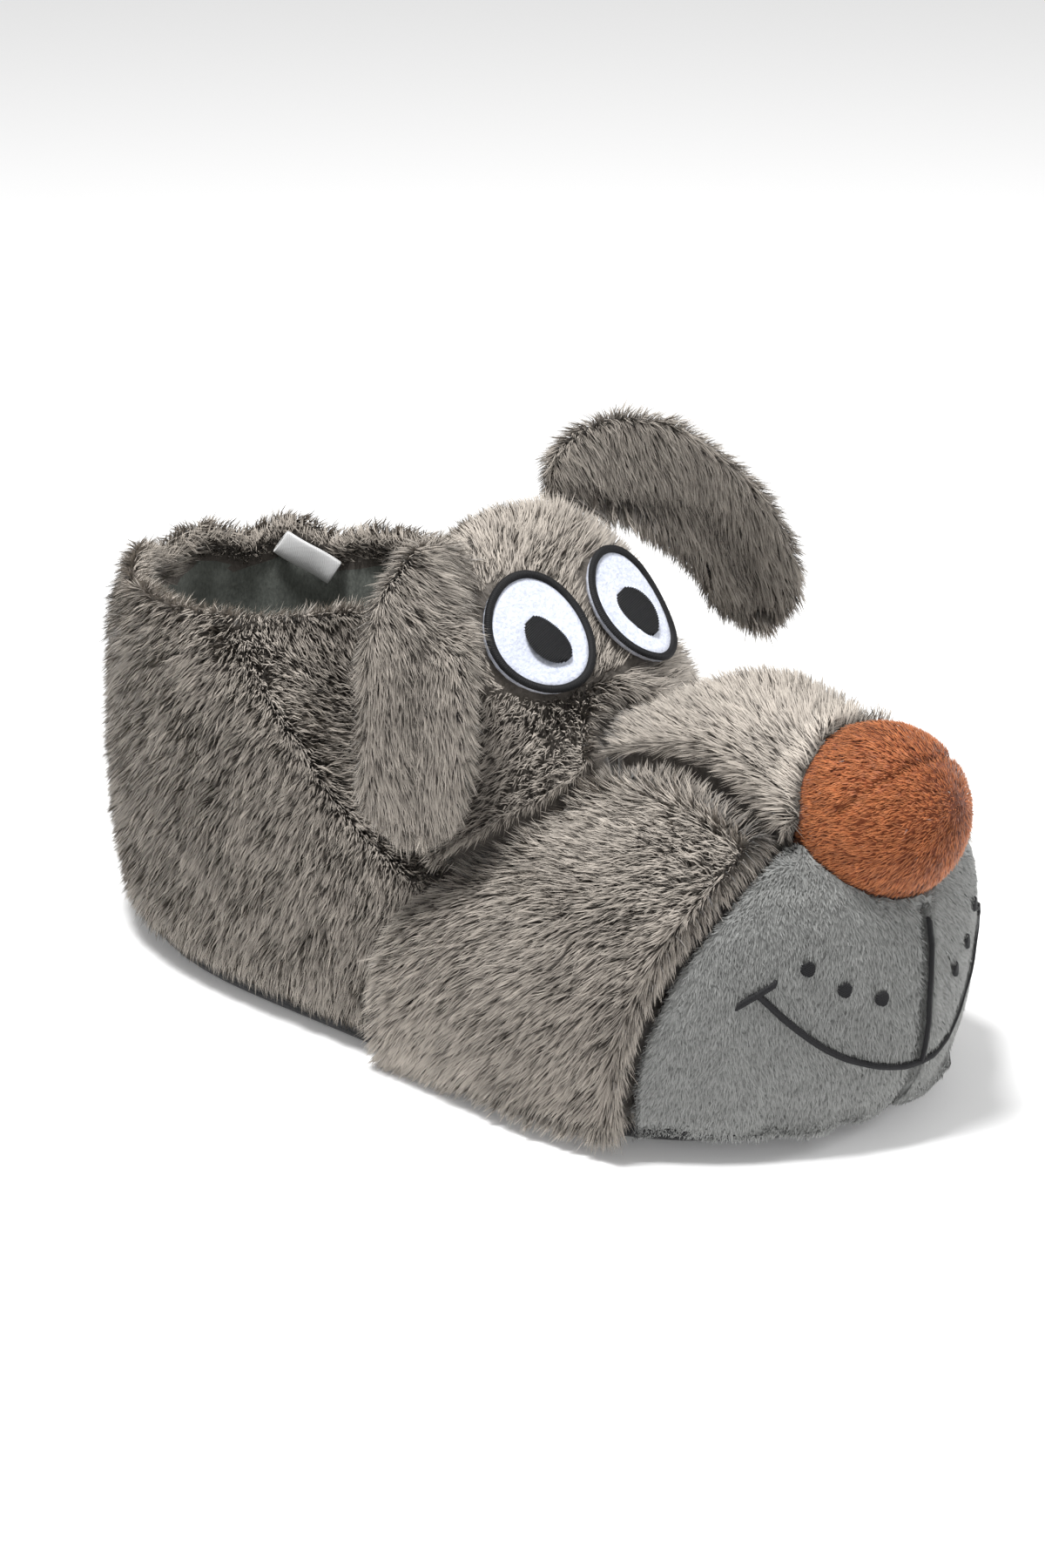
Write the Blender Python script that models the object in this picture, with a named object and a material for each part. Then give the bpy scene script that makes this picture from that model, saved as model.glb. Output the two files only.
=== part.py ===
"""A plush dog slipper: a padded fur upper on a flat fabric sole, with a stuffed dog's head over the toes.

Metres, +Z up. The toe points to -Y and the floor is at Z 0.
The origin is on the floor, under the middle of the sole. The slipper fits either foot.
"""

import math

import bpy
import numpy as np
from mathutils import Vector
from mathutils.bvhtree import BVHTree

MM = 0.001

# Sole and footbed
SOLE_LENGTH = 280 * MM
SOLE_WIDTH = 124 * MM
SOLE_THICKNESS = 5 * MM
SOLE_EDGE_ROUND = 1.6 * MM
TOE_SPRING = 5 * MM
SPRING_LENGTH = 60 * MM
INSOLE_THICKNESS = 6 * MM
INSOLE_CUP = 3 * MM
TOE_BLUNTNESS = 3.0
HEEL_BLUNTNESS = 2.3

# Padded upper
WALL = 12 * MM
SIDE_BULGE = 12 * MM
RIM_HEIGHT = 112 * MM
COLLAR_WIDTH = 104 * MM
COLLAR_FRONT = 27 * MM
COLLAR_BACK = SOLE_LENGTH / 2 + 3 * MM
VAMP_START = 0.60
VAMP_LENGTH = 0.34
VAMP_CROWN = 0.28
GATHER_DEPTH = 5 * MM

# Head
HEAD_BACK = COLLAR_FRONT - 1 * MM
HEAD_FRONT = 3 * MM - SOLE_LENGTH / 2
HEAD_WIDTH = SOLE_WIDTH + 22 * MM
BROW_HEIGHT = 152 * MM
BRIDGE_SEAM_BACK = 0.72
BRIDGE_SEAM_FRONT = 0.62
CHEEK_ROWS = 10
CHEEK_COLUMNS = 11
HEM_ROW = 6
BRIDGE_ROWS = 6
CHEEK_STEP = 4 * MM
LEAST_STUFFING = 4 * MM
NOSE_RADIUS = 24.5 * MM
NOSE_HEIGHT = 92 * MM
NOSE_PLACE = (0.0, HEAD_FRONT - 0.5 * MM, NOSE_HEIGHT)
HEAD_BASE = 2.5 * MM
CORE_HEIGHT = 0.296 * BROW_HEIGHT
CORE_FRONT = 0.7 * HEAD_FRONT
LAP = 4 * MM
FORM_DROP = 20 * MM
ALONG_GAP = 0.5 * MM / (HEAD_BACK - HEAD_FRONT)
UP_GAP = 0.3 * MM / HEAD_WIDTH

# Mouth
MOUTH_FRONT = HEAD_FRONT - 19 * MM
MOUTH_TOP = NOSE_HEIGHT - 2 * MM
MOUTH_BLUNTNESS = 1.4

# Ears
EAR_WIDTH = 34 * MM
EAR_THICKNESS = 17 * MM
EAR_CUP = 0.22
EAR_RINGS = 16
EAR_AROUND = 20

# Felt eyes
EYE_PLACE = (18.5 * MM, 0.796 * BROW_HEIGHT)
EYE_WIDTH = 31 * MM
EYE_HEIGHT = 36 * MM
EYE_SLOPE = math.radians(49)
FELT_THICKNESS = 1.8 * MM
PUPIL_PLACE = (18 * MM, 0.783 * BROW_HEIGHT)
PUPIL_WIDTH = 14 * MM
PUPIL_THICKNESS = 1.0 * MM

# Label
LABEL_WIDTH = 15 * MM
LABEL_DROP = 10 * MM
LABEL_THICKNESS = 1.2 * MM
LABEL_AROUND = 0.37

# Clearances between pieces that touch
SEAT_GAP = 0.3 * MM
SEAM_GAP = 0.3 * MM

# How finely the round forms are divided
AROUND = 56
SHELL_STEPS = 15
RIM_STEPS = 4


def table(names, *rows):
    """Rows of numbers as columns with names."""
    return dict(zip(names.split(), np.array(rows, float).T))


# Breadth of the sole from toe 0 to heel 1, as a share of its width
BREADTH = table(
    "along breadth",
    (0.00, 1.00),
    (0.15, 1.01),
    (0.30, 1.00),
    (0.45, 0.92),
    (0.60, 0.89),
    (0.80, 0.92),
    (1.00, 0.92),
)

# Wall of the upper from the sole 0 to the rim 1: rise as a share of the rim's height, run as a share of
# the way from the sole's edge to the collar, and bulge as a share of SIDE_BULGE
WALL_AT_HEEL = table(
    "step rise run bulge",
    (0.00, 0.00, 0.00, 0.30),
    (0.14, 0.09, 0.00, 0.72),
    (0.28, 0.25, 0.00, 0.92),
    (0.42, 0.45, 0.02, 1.00),
    (0.57, 0.65, 0.12, 0.95),
    (0.71, 0.81, 0.35, 0.80),
    (0.86, 0.93, 0.70, 0.45),
    (1.00, 1.00, 1.00, 0.10),
)
WALL_AT_TOE = table(
    "step rise run bulge",
    (0.00, 0.00, 0.00, 0.00),
    (0.14, 0.10, 0.00, 0.12),
    (0.28, 0.26, 0.00, 0.15),
    (0.42, 0.44, 0.04, 0.08),
    (0.57, 0.55, 0.22, 0.00),
    (0.71, 0.63, 0.55, 0.00),
    (0.86, 0.76, 0.90, 0.00),
    (1.00, 1.00, 1.00, 0.00),
)

# Height of the rim round the collar, from the front 0 to the back 0.5, as a share of RIM_HEIGHT
RIM = table(
    "around height",
    (0.00, 1.00),
    (0.15, 1.02),
    (0.30, 0.99),
    (0.42, 1.01),
    (0.50, 1.01),
)

# Soft gathers of the rim, as places round the collar and shares of GATHER_DEPTH
GATHERS = table(
    "around depth width",
    (0.345, 0.9, 0.018),
    (0.435, 1.0, 0.016),
    (0.530, 0.9, 0.018),
    (0.640, 1.0, 0.020),
)

# Stations of the head from its back 0 to the nose 1: half width as a share of half of HEAD_WIDTH,
# top as a share of BROW_HEIGHT, and brow 1 for the forehead's section or 0 for the muzzle's
STATIONS = table(
    "along half_width top brow",
    (0.000, 0.66, 0.80, 1.0),
    (0.058, 0.77, 0.905, 1.0),
    (0.129, 0.85, 0.975, 1.0),
    (0.193, 0.89, 0.99, 1.0),
    (0.242, 0.91, 0.945, 1.0),
    (0.298, 0.93, 0.86, 0.95),
    (0.402, 0.96, 0.73, 0.6),
    (0.451, 0.98, 0.68, 0.3),
    (0.549, 1.00, 0.717, 0.0),
    (0.650, 1.00, 0.776, 0.0),
    (0.745, 0.98, 0.803, 0.0),
    (0.856, 0.93, 0.783, 0.0),
    (1.000, 0.80, 0.717, 0.0),
)

# Section of the head from its lower edge 0 to the top 1: width and height as shares of the station's,
# for the muzzle and for the brow
SECTION = table(
    "up muzzle_width muzzle_height brow_width brow_height",
    (0.00, 0.960, 0.00, 0.90, 0.00),
    (0.10, 0.995, 0.12, 0.97, 0.12),
    (0.22, 1.000, 0.29, 1.00, 0.26),
    (0.34, 0.950, 0.47, 0.96, 0.40),
    (0.46, 0.820, 0.62, 0.89, 0.54),
    (0.56, 0.610, 0.73, 0.80, 0.67),
    (0.64, 0.430, 0.80, 0.70, 0.79),
    (0.76, 0.310, 0.91, 0.50, 0.92),
    (0.88, 0.170, 0.98, 0.25, 0.985),
    (1.00, 0.000, 1.00, 0.00, 1.00),
)

# Front and back seams of a cheek, from its lower edge 0 to the bridge seam 1, as shares along the head
CHEEK_SEAMS = table(
    "up back front",
    (0.00, 0.215, 0.811),
    (0.25, 0.255, 0.835),
    (0.50, 0.320, 0.885),
    (0.75, 0.420, 0.935),
    (1.00, 0.520, 0.954),
)

# Back edge of the forehead, from its hem 0 to its middle 1, as shares along the head
FOREHEAD_EDGE = table(
    "up along",
    (0.00, 0.13),
    (0.25, 0.10),
    (0.50, 0.05),
    (0.75, 0.01),
    (1.00, 0.00),
)

# Seams at the back and front of the bridge, from its edge 0 to its middle 1, as shares along the head
BRIDGE_SEAMS = table(
    "up back front",
    (0.00, 0.52, 0.954),
    (0.35, 0.49, 0.970),
    (0.70, 0.46, 0.990),
    (1.00, 0.45, 1.000),
)

# Profile of the mouth down its centre seam from the sole 0 to the nose 1: height as a share of MOUTH_TOP,
# and reach as a share of MOUTH_FRONT
MOUTH_PROFILE = table(
    "up height reach",
    (0.00, 0.00, 0.905),
    (0.12, 0.08, 0.960),
    (0.28, 0.24, 0.990),
    (0.48, 0.47, 1.000),
    (0.70, 0.74, 0.990),
    (0.86, 0.90, 0.945),
    (1.00, 1.00, 0.860),
)

# Middle line of an ear from root 0 to tip 1: out as a share of half HEAD_WIDTH, back as a share of the
# head's length from HEAD_BACK, up as a share of BROW_HEIGHT, and its width and thickness as shares
HANGING_EAR = table(
    "along out back up width thickness",
    (0.00, 0.329, 0.196, 0.855, 0.60, 0.85),
    (0.13, 0.521, 0.239, 0.908, 0.75, 0.95),
    (0.26, 0.740, 0.294, 0.928, 0.90, 1.00),
    (0.38, 0.877, 0.331, 0.875, 1.00, 1.00),
    (0.58, 0.945, 0.356, 0.770, 1.00, 1.00),
    (0.77, 0.973, 0.362, 0.645, 1.00, 1.00),
    (0.92, 0.986, 0.356, 0.546, 0.90, 0.95),
    (1.00, 0.986, 0.350, 0.493, 0.60, 0.70),
)
LIFTED_EAR = table(
    "along out back up width thickness",
    (0.00, 0.220, 0.160, 0.960, 0.75, 0.85),
    (0.14, 0.370, 0.160, 1.005, 0.95, 0.95),
    (0.30, 0.575, 0.190, 1.015, 1.05, 1.00),
    (0.50, 0.795, 0.239, 0.947, 1.05, 1.00),
    (0.72, 1.000, 0.276, 0.836, 1.00, 1.00),
    (0.90, 1.123, 0.282, 0.711, 0.90, 0.95),
    (1.00, 1.151, 0.270, 0.645, 0.60, 0.70),
)

FUR = ("fur", (0.30, 0.28, 0.26), 0.95)
SHORT_PLUSH = ("short_plush", (0.27, 0.28, 0.27), 0.9)
NOSE_PLUSH = ("nose_plush", (0.36, 0.10, 0.035), 0.85)
FELT = ("felt", (0.83, 0.84, 0.90), 0.95)
THREAD = ("thread", (0.012, 0.012, 0.014), 0.6)
LINING = ("lining", (0.12, 0.13, 0.12), 0.95)
SOLE_CLOTH = ("sole_cloth", (0.045, 0.045, 0.047), 0.85)
LABEL_CLOTH = ("label_cloth", (0.80, 0.80, 0.80), 0.5)


def smooth(columns, key, name, at):
    """A smooth curve through the column called name, read at values of the column called key."""
    xs, ys = columns[key], columns[name]
    slopes = np.gradient(ys, xs)
    at = np.clip(np.asarray(at, float), xs[0], xs[-1])
    i = np.clip(np.searchsorted(xs, at) - 1, 0, len(xs) - 2)
    run = xs[i + 1] - xs[i]
    t = (at - xs[i]) / run
    start = ys[i] * (1 + 2 * t) * (1 - t) ** 2 + slopes[i] * run * t * (1 - t) ** 2
    end = ys[i + 1] * t**2 * (3 - 2 * t) + slopes[i + 1] * run * t**2 * (t - 1)
    return start + end


def ease(t):
    """0 to 1 with soft ends."""
    t = np.clip(t, 0.0, 1.0)
    return t * t * (3 - 2 * t)


def clear_scene():
    for obj in list(bpy.data.objects):
        bpy.data.objects.remove(obj, do_unlink=True)


def material(name, colour, roughness):
    found = bpy.data.materials.get(name)
    if found:
        return found
    made = bpy.data.materials.new(name)
    made.use_nodes = True
    shader = made.node_tree.nodes["Principled BSDF"]
    shader.inputs["Base Color"].default_value = (*colour, 1.0)
    shader.inputs["Roughness"].default_value = roughness
    shader.inputs["Metallic"].default_value = 0.0
    return made


def node(name, points, faces, finish, helper=False):
    """One named object from points and faces. A helper is only a cutter."""
    mesh = bpy.data.meshes.new(name)
    mesh.from_pydata([tuple(map(float, p)) for p in points], [], [tuple(map(int, f)) for f in faces])
    mesh.validate()
    mesh.update()
    mesh.materials.append(material(*finish))
    mesh.shade_smooth()
    obj = bpy.data.objects.new(name, mesh)
    bpy.context.scene.collection.objects.link(obj)
    if helper:
        obj.hide_render = True
        obj.display_type = "WIRE"
    return obj


def cut(obj, cutter):
    """Takes the cutter's shape out of obj."""
    modifier = obj.modifiers.new("cut_" + cutter.name, "BOOLEAN")
    modifier.operation = "DIFFERENCE"
    modifier.solver = "EXACT"
    modifier.object = cutter


def evenly_round(points, count, starts=None):
    """Points at even steps, or at the given shares, along a closed line that starts at its first point."""
    ring = np.vstack([points, points[:1]])
    lengths = np.concatenate([[0], np.cumsum(np.linalg.norm(np.diff(ring, axis=0), axis=1))])
    shares = np.arange(count) / count if starts is None else starts
    return np.stack([np.interp(shares * lengths[-1], lengths, ring[:, k]) for k in range(ring.shape[1])], 1)


def outward(ring):
    """Level unit normals of a ring that runs anticlockwise seen from above."""
    along = np.roll(ring, -1, axis=0) - np.roll(ring, 1, axis=0)
    normals = np.stack([along[:, 1], -along[:, 0]], 1)
    return normals / np.linalg.norm(normals, axis=1)[:, None]


def sole_outline(count=AROUND, inset=0.0):
    """The sole's edge from the toe round by +X, with blunt ends and a slight waist."""
    angle = np.linspace(0, 2 * math.pi, 721)[:-1]
    along = (1 - np.cos(angle)) / 2
    blunt = TOE_BLUNTNESS + (HEEL_BLUNTNESS - TOE_BLUNTNESS) * along
    full = np.clip(1 - np.abs(1 - 2 * along) ** blunt, 0, 1) ** (1 / blunt)
    side = np.sign(np.sin(angle))
    x = side * SOLE_WIDTH / 2 * smooth(BREADTH, "along", "breadth", along) * full
    y = SOLE_LENGTH * (along - 0.5)
    ring = evenly_round(np.stack([x, y], 1), count)
    return ring - inset * outward(ring)


def collar_line(shares):
    """The outer edge of the rim in plan, from its front round by +X, at shares of its length."""
    angle = np.linspace(0, 2 * math.pi, 361)[:-1]
    middle, reach = (COLLAR_BACK + COLLAR_FRONT) / 2, (COLLAR_BACK - COLLAR_FRONT) / 2
    ring = np.stack([COLLAR_WIDTH / 2 * np.sin(angle), middle - reach * np.cos(angle)], 1)
    return evenly_round(ring, len(shares), shares)


def spring(y):
    """How far the toe of the sole is lifted off the floor at y."""
    start = -SOLE_LENGTH / 2 + SPRING_LENGTH
    return TOE_SPRING * ease((start - np.asarray(y)) / SPRING_LENGTH)


def collar_shares():
    """Where each line up the wall meets the collar. The lines gather towards its front."""
    share = np.arange(AROUND) / AROUND
    half = np.minimum(share, 1 - share)
    spread = 0.35 * half + 0.325 * (2 * half) ** 2.4
    return np.where(share <= 0.5, spread, 1 - spread)


def rim_heights(shares):
    half = np.minimum(shares, 1 - shares)
    heights = RIM_HEIGHT * smooth(RIM, "around", "height", half)
    for around, depth, width in zip(GATHERS["around"], GATHERS["depth"], GATHERS["width"]):
        heights = heights - GATHER_DEPTH * depth * np.exp(-(((shares - around) / width) ** 2))
    return heights


def shell(grow=0.0, steps=SHELL_STEPS):
    """Rings of the upper's outer face from the sole to the rim, grown outwards by grow."""
    base = sole_outline()
    lean = outward(base)
    shares = collar_shares()
    rim = collar_line(shares)
    tall = rim_heights(shares)
    floor = SOLE_THICKNESS + SEAM_GAP + spring(base[:, 1])
    along = base[:, 1] / SOLE_LENGTH + 0.5
    toe = ease((VAMP_START - along) / VAMP_LENGTH)
    rings = []
    for step in np.linspace(0, 1, steps):
        rise, run, bulge = (
            (1 - toe) * smooth(WALL_AT_HEEL, "step", name, step)
            + toe * smooth(WALL_AT_TOE, "step", name, step)
            for name in ("rise", "run", "bulge")
        )
        plan = base + (rim - base) * run[:, None] + lean * (SIDE_BULGE * bulge)[:, None]
        crown = VAMP_CROWN * toe * (2 * plan[:, 0] / SOLE_WIDTH) ** 2 * (4 * step * (1 - step))
        z = floor + (tall - floor) * rise * (1 - crown)
        rings.append(np.column_stack([plan, z]))
    rings = np.array(rings)
    return rings + grow * grid_normals(rings)


def grid_normals(rings):
    """Unit normals of a stack of closed rings, outwards. The first ring's are level, to keep its edge flat."""
    up = np.gradient(rings, axis=0)
    round_ = np.roll(rings, -1, axis=1) - np.roll(rings, 1, axis=1)
    normals = np.cross(round_, up)
    normals[0, :, 2] = 0
    return normals / np.linalg.norm(normals, axis=2)[:, :, None]


def skin(rings, closed=False, caps=True):
    """Points and faces of a tube through rings. It closes on itself, or has a flat cap at each end."""
    rings = np.array(rings)
    rows, count = rings.shape[:2]
    faces = []
    for r in range(rows if closed else rows - 1):
        for i in range(count):
            j, s = (i + 1) % count, (r + 1) % rows
            quad = (r * count + i, r * count + j, s * count + j, s * count + i)
            # Split alike on both sides, and in a piece and its cutter
            a, b, c, d = quad if i < count / 2 else quad[1:] + quad[:1]
            faces += [(a, b, c), (a, c, d)]
    if caps and not closed:
        faces.append(tuple(reversed(range(count))))
        faces.append(tuple((rows - 1) * count + i for i in range(count)))
    return rings.reshape(-1, 3), faces


def upper():
    """One hollow wall: outer face, a rolled rim, inner face and a flat edge on the sole."""
    outer = shell()
    inner = outer - WALL * grid_normals(outer)
    inner[0, :, 2] = outer[0, :, 2]
    middle = (outer[-1] + inner[-1]) / 2
    across = (outer[-1] - inner[-1]) / 2
    rise = np.array([0, 0, 1.0]) * np.linalg.norm(across, axis=1)[:, None]
    angles = np.linspace(0, math.pi, RIM_STEPS + 2)[1:-1]
    roll = [middle + across * math.cos(a) + rise * math.sin(a) for a in angles]
    rings = np.concatenate([outer, roll, inner[::-1]])
    node("upper", *skin(rings, closed=True), FUR)


def closed_form(grow=0.0):
    """The upper's outer form as rings of a solid: through the sole below, and closed over the collar."""
    rings = shell(grow)
    top = rings[-1].mean(axis=0)
    below = rings[0] * np.array([1.0, 1.0, 0.0]) - np.array([0.0, 0.0, FORM_DROP])
    return np.concatenate([[below], rings, [top + (rings[-1] - top) * 0.02]])


def outsole():
    """A thin padded plate with rounded edges and a sprung toe."""
    rounds = SOLE_EDGE_ROUND
    levels = ((0.0, rounds), (rounds, 0.0), (SOLE_THICKNESS - rounds, 0.0), (SOLE_THICKNESS, rounds))
    rings = []
    for z, inset in levels:
        ring = sole_outline(inset=inset)
        rings.append(np.column_stack([ring, z + spring(ring[:, 1])]))
    node("outsole", *plate(rings), SOLE_CLOTH)


def plate(rings):
    """A tube through rings that start at the toe, closed below and above by strips from side to side."""
    points, faces = skin(rings, caps=False)
    top = (len(rings) - 1) * AROUND
    for i in range(AROUND // 2):
        near, far = (i, i + 1), (AROUND - i - 1, (AROUND - i) % AROUND)
        corners = list(dict.fromkeys((*near, *far)))
        faces.append(tuple(reversed(corners)))
        faces.append(tuple(top + c for c in corners))
    return points, faces


def insole():
    """A soft footbed that fills the floor of the upper, with a cupped edge."""
    bottom = SOLE_THICKNESS + SEAM_GAP
    gap = WALL + 2 * SEAM_GAP
    rings = []
    for z, inset in ((0.0, 0.0), (INSOLE_THICKNESS + INSOLE_CUP, 0.0), (INSOLE_THICKNESS, 2 * INSOLE_CUP)):
        ring = sole_outline(inset=gap + inset)
        rings.append(np.column_stack([ring, bottom + z + spring(ring[:, 1])]))
    node("insole", *plate(rings), LINING)


def head_point(along, up, side, grow=0.0):
    """A point of the head's outer form, at a share along it and a share up its section, on one side."""
    y = HEAD_BACK + (HEAD_FRONT - HEAD_BACK) * along
    half = HEAD_WIDTH / 2 * smooth(STATIONS, "along", "half_width", along)
    top = BROW_HEIGHT * smooth(STATIONS, "along", "top", along)
    brow = smooth(STATIONS, "along", "brow", along)
    width, height = (
        (1 - brow) * smooth(SECTION, "up", "muzzle_" + name, up)
        + brow * smooth(SECTION, "up", "brow_" + name, up)
        for name in ("width", "height")
    )
    base = HEAD_BASE + spring(y)
    x = side * (half * width + grow)
    z = base + (top - base) * height
    return np.stack(np.broadcast_arrays(x, y, z), -1)


def to_core(p):
    """The direction from a point of the head to its core line."""
    return (Vector((0.0, max(p[1], CORE_FRONT), CORE_HEIGHT)) - Vector(p)).normalized()


def stuffed(outer, tree):
    """The form, at least LEAST_STUFFING outside the upper's face, and the points LAP behind that face."""
    full = outer.reshape(-1, 3).copy()
    inner = full.copy()
    for k, p in enumerate(full):
        way = to_core(p)
        hit = tree.ray_cast(Vector(p) - way, way)[0]
        short = LEAST_STUFFING - (hit - Vector(p)).dot(way)
        away = Vector((-way.x, -way.y, max(0.0, -way.z))).normalized()
        full[k] = Vector(p) + away * max(0.0, short)
        inner[k] = hit + way * LAP
    return full.reshape(outer.shape), inner.reshape(outer.shape)


def slab(outer, inner):
    """Points and faces of a sheet with thickness between two grids of the same size."""
    rows, columns = outer.shape[:2]
    count = rows * columns
    faces = []

    def at(r, c, layer):
        return layer * count + r * columns + c

    for r in range(rows - 1):
        for c in range(columns - 1):
            corners = (r, c), (r, c + 1), (r + 1, c + 1), (r + 1, c)
            # Split alike on both sides, and in a piece and its cutter
            i, j, k, n = corners if r < (rows - 1) / 2 else corners[1:] + corners[:1]
            faces += [(at(*i, 0), at(*j, 0), at(*k, 0)), (at(*i, 0), at(*k, 0), at(*n, 0))]
            faces += [(at(*k, 1), at(*j, 1), at(*i, 1)), (at(*n, 1), at(*k, 1), at(*i, 1))]
    edge = [(0, c) for c in range(columns)] + [(r, columns - 1) for r in range(1, rows)]
    edge += [(rows - 1, c) for c in range(columns - 2, -1, -1)] + [(r, 0) for r in range(rows - 2, 0, -1)]
    for (r, c), (s, d) in zip(edge, edge[1:] + edge[:1]):
        corners = at(s, d, 0), at(r, c, 0), at(r, c, 1), at(s, d, 1)
        # Both sides of a seam split their wall the same way
        if np.dot(outer[r, c] - outer[s, d], (0, 0.4, 1)) > 0:
            corners = corners[1:] + corners[:1]
        faces += [(corners[0], corners[1], corners[2]), (corners[0], corners[2], corners[3])]
    return np.concatenate([outer.reshape(-1, 3), inner.reshape(-1, 3)]), faces


def facing_out(obj):
    """Turns a closed mesh so that its faces point outwards."""
    mesh = obj.data
    mesh.calc_loop_triangles()
    points = np.array([v.co for v in mesh.vertices])
    corners = points[np.array([t.vertices for t in mesh.loop_triangles])]
    volume = np.einsum("ij,ij->i", corners[:, 0], np.cross(corners[:, 1], corners[:, 2])).sum()
    if volume < 0:
        mesh.flip_normals()
    return obj


def piece(name, outer, inner, finish, cutter):
    """A stuffed piece between two grids, cut to lie on the upper."""
    obj = facing_out(node(name, *slab(outer, inner), finish))
    cut(obj, cutter)
    return obj


def bridge_seam(share):
    """How far up the section the seam between cheek and bridge runs, from its back 0 to its front 1."""
    return BRIDGE_SEAM_BACK + (BRIDGE_SEAM_FRONT - BRIDGE_SEAM_BACK) * share


def forehead_grid():
    """The forehead's outer form, from hem to hem and from the collar to the bridge and the cheeks."""
    low = np.arange(HEM_ROW, CHEEK_ROWS + 1) / CHEEK_ROWS
    high = np.linspace(0, 1, BRIDGE_ROWS)[1:]
    seam = BRIDGE_SEAM_BACK + UP_GAP
    up = np.concatenate([low * (BRIDGE_SEAM_BACK - UP_GAP), seam + high * (1 - seam)])
    front = np.concatenate(
        [smooth(CHEEK_SEAMS, "up", "back", low), smooth(BRIDGE_SEAMS, "up", "back", high)]
    )
    front = front - ALONG_GAP
    side = np.concatenate([-np.ones(len(up)), np.ones(len(up) - 1)])
    up = np.concatenate([up, up[-2::-1]])
    front = np.concatenate([front, front[-2::-1]])
    edge = np.linspace(0, 1, len(low) + len(high))
    back = smooth(FOREHEAD_EDGE, "up", "along", edge)
    back = np.concatenate([back, back[-2::-1]])[:, None]
    share = np.linspace(0, 1, 14)
    return head_point(back + (front[:, None] - back) * share, up[:, None], side[:, None])


def bridge_grid():
    """The bridge's outer form, from seam to seam and from the forehead to the nose."""
    rise = np.linspace(0, 1, BRIDGE_ROWS)
    back = smooth(BRIDGE_SEAMS, "up", "back", rise)
    front = smooth(BRIDGE_SEAMS, "up", "front", rise)
    side = np.concatenate([-np.ones(BRIDGE_ROWS), np.ones(BRIDGE_ROWS - 1)])
    rise, back, front = (np.concatenate([column, column[-2::-1]])[:, None] for column in (rise, back, front))
    share = np.linspace(0, 1, CHEEK_COLUMNS)
    low = bridge_seam(share) + UP_GAP
    return head_point(back + (front - back) * share, low + (1 - low) * rise, side[:, None])


def cheek_grid(side):
    """A cheek's outer form, from its lower edge to the bridge seam and from back to front."""
    up = np.arange(CHEEK_ROWS + 1)[:, None] / CHEEK_ROWS
    back = smooth(CHEEK_SEAMS, "up", "back", up)
    front = smooth(CHEEK_SEAMS, "up", "front", up)
    share = np.linspace(0, 1, CHEEK_COLUMNS)
    return head_point(back + (front - back) * share, up * (bridge_seam(share) - UP_GAP), side)


def mouth(name, side, tree, cutter):
    """One half of the short-plush front, from the cheek's front edge to the centre seam."""
    edge, seat = stuffed(cheek_grid(side)[:, -1], tree)
    inwards = seat - edge
    start = edge + CHEEK_STEP * inwards / np.linalg.norm(inwards, axis=1)[:, None]
    gap = np.array([0, -SEAM_GAP, 0])
    up = np.arange(CHEEK_ROWS + 1) / CHEEK_ROWS
    reach = MOUTH_FRONT * smooth(MOUTH_PROFILE, "up", "reach", up)
    base = HEAD_BASE + spring(reach)
    height = base + (MOUTH_TOP - base) * smooth(MOUTH_PROFILE, "up", "height", up)
    seam = side * SEAM_GAP / 2
    turn = np.linspace(0, math.pi / 2, 10)
    across = np.cos(turn) ** (2 / MOUTH_BLUNTNESS)
    forward = np.sin(turn) ** (2 / MOUTH_BLUNTNESS)
    outer = np.zeros((len(up), len(turn), 3))
    outer[:, :, 0] = seam + (start[:, 0] - seam)[:, None] * across
    outer[:, :, 1] = start[:, 1][:, None] + (reach - start[:, 1])[:, None] * forward
    outer[:, :, 2] = start[:, 2][:, None] + (height - start[:, 2])[:, None] * ease(turn / (math.pi / 2))
    full, inner = stuffed(outer, tree)
    full[:, 0], inner[:, 0] = start, seat
    full[:, -1, 0] = inner[:, -1, 0] = seam
    return piece(name, full + gap, inner + gap, SHORT_PLUSH, cutter)


def patch(name, centre, width, height, tree, low, high, finish, rings=5, around=28):
    """A thin oval lying on the brow. Its two faces are low and high above the form it lies on."""
    slope = Vector((0, math.cos(EYE_SLOPE), math.sin(EYE_SLOPE)))
    facing = Vector((0, -math.sin(EYE_SLOPE), math.cos(EYE_SLOPE)))
    turns = np.linspace(0, 2 * math.pi, around, endpoint=False)
    points, faces = [], []
    spots = [(0.0, 0.0)]
    for share in np.linspace(0, 1, rings + 1)[1:]:
        spots += [(share * math.cos(t), share * math.sin(t)) for t in turns]
    seat = tree.ray_cast(Vector((centre[0], -1, centre[1])), Vector((0, 1, 0)))[0]
    for level in (low, high):
        for across, up in spots:
            start = seat + facing * 0.1 + slope * (up * height / 2) + Vector((across * width / 2, 0, 0))
            hit, normal, _, _ = tree.ray_cast(start, -facing)
            points.append(hit + facing * level)
    count = len(spots)
    for i in range(around):
        j = (i + 1) % around
        faces.append((0, 1 + j, 1 + i))
        faces.append((count, count + 1 + i, count + 1 + j))
        for r in range(rings - 1):
            a, b = 1 + r * around, 1 + (r + 1) * around
            faces.append((a + i, a + j, b + j, b + i))
            faces.append((count + a + j, count + a + i, count + b + i, count + b + j))
        edge = 1 + (rings - 1) * around
        faces.append((edge + i, edge + j, count + edge + j, count + edge + i))
    return facing_out(node(name, points, faces, finish))


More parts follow.
